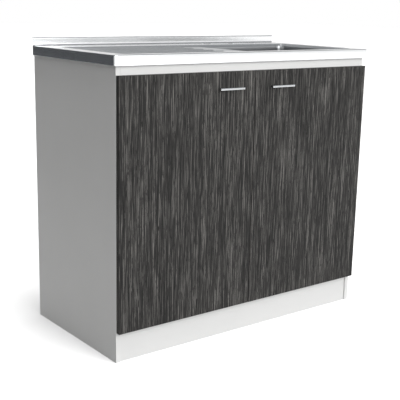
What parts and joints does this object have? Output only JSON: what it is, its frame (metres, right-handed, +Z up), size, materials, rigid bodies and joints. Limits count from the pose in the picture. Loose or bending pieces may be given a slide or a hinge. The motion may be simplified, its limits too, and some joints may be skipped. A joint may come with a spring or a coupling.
{
  "type": "kitchen sink unit",
  "caption": "Base cabinet with two hinged wood-grain doors under a pressed stainless steel sink top with ribbed drainer, bowl, tap ledge and low back upstand.",
  "frame": {"origin": "on the floor, at the middle of the overall width and depth (the depth includes the handles)", "axes": "+Z up, +Y towards the wall, -Y out of the doors, +X to the right seen from the front"},
  "size_m": [1, 0.5146, 0.917],
  "materials": {
    "white_board": "satin white melamine on particle board",
    "back_board": "matt white lacquered fibreboard",
    "charcoal_board": "matt charcoal melamine with an upright linear grain",
    "stainless_steel": "satin stainless steel",
    "chrome": "bright chrome plate",
    "nickel": "nickel plate",
    "zinc": "zinc plate",
    "black_rubber": "matt rubber"
  },
  "bodies": {
    "cabinet": {"left_side_panel": "white_board", "right_side_panel": "white_board", "bottom_panel": "white_board", "front_top_rail": "white_board", "rear_top_rail": "white_board", "kick_panel": "white_board", "back_panel": "back_board", "cam_lock_bottom_front_left": "zinc", "cam_lock_bottom_rear_left": "zinc", "cam_lock_front_rail_left": "zinc", "cam_lock_rear_rail_left": "zinc", "cam_lock_bottom_front_right": "zinc", "cam_lock_bottom_rear_right": "zinc", "cam_lock_front_rail_right": "zinc", "cam_lock_rear_rail_right": "zinc", "top_clip_front_left": "zinc", "top_clip_rear_left": "zinc", "top_clip_front_right": "zinc", "top_clip_rear_right": "zinc", "sink_deck": "stainless_steel", "sink_bowl": "stainless_steel", "waste_body": "stainless_steel", "waste_gasket": "black_rubber", "waste_nut": "zinc", "left_upper_hinge_plate": "nickel", "left_upper_hinge_arm": "nickel", "left_upper_hinge_arm_pin": "zinc", "left_lower_hinge_plate": "nickel", "left_lower_hinge_arm": "nickel", "left_lower_hinge_arm_pin": "zinc", "right_upper_hinge_plate": "nickel", "right_upper_hinge_arm": "nickel", "right_upper_hinge_arm_pin": "zinc", "right_lower_hinge_plate": "nickel", "right_lower_hinge_arm": "nickel", "right_lower_hinge_arm_pin": "zinc"},
    "left_hinge_links": {"left_upper_hinge_link": "nickel", "left_lower_hinge_link": "nickel"},
    "left_door": {"left_door": "charcoal_board", "left_handle": "chrome", "left_handle_screw_outer": "zinc", "left_handle_screw_inner": "zinc", "left_upper_hinge_cup": "nickel", "left_upper_hinge_cup_pin": "zinc", "left_lower_hinge_cup": "nickel", "left_lower_hinge_cup_pin": "zinc"},
    "right_hinge_links": {"right_upper_hinge_link": "nickel", "right_lower_hinge_link": "nickel"},
    "right_door": {"right_door": "charcoal_board", "right_handle": "chrome", "right_handle_screw_outer": "zinc", "right_handle_screw_inner": "zinc", "right_upper_hinge_cup": "nickel", "right_upper_hinge_cup_pin": "zinc", "right_lower_hinge_cup": "nickel", "right_lower_hinge_cup_pin": "zinc"},
    "basket_strainer": {"basket_strainer": "stainless_steel"}
  },
  "joints": [
    {"name": "left_hinge_link_turn", "type": "hinge", "parent": "cabinet", "child": "left_hinge_links", "pos_m": [-0.4607, -0.22395, 0.4645], "axis": [0, 0, -1], "range_deg": [-33.65, 0]},
    {"name": "left_door_turn", "type": "hinge", "parent": "left_hinge_links", "child": "left_door", "pos_m": [-0.4811, -0.22715, 0.4645], "axis": [0, 0, -1], "range_deg": [0, 138.6]},
    {"name": "right_hinge_link_turn", "type": "hinge", "parent": "cabinet", "child": "right_hinge_links", "pos_m": [0.4607, -0.22395, 0.4645], "axis": [0, 0, 1], "range_deg": [-33.65, 0]},
    {"name": "right_door_turn", "type": "hinge", "parent": "right_hinge_links", "child": "right_door", "pos_m": [0.4811, -0.22715, 0.4645], "axis": [0, 0, 1], "range_deg": [0, 138.6]},
    {"name": "basket_lift", "type": "slide", "parent": "cabinet", "child": "basket_strainer", "axis": [0, 0, 1], "range_m": [0, 0.2]}
  ],
  "couplings": [
    {"joint": "left_hinge_link_turn", "follows": "left_door_turn", "ratio": -0.24242},
    {"joint": "right_hinge_link_turn", "follows": "right_door_turn", "ratio": -0.24242}
  ]
}
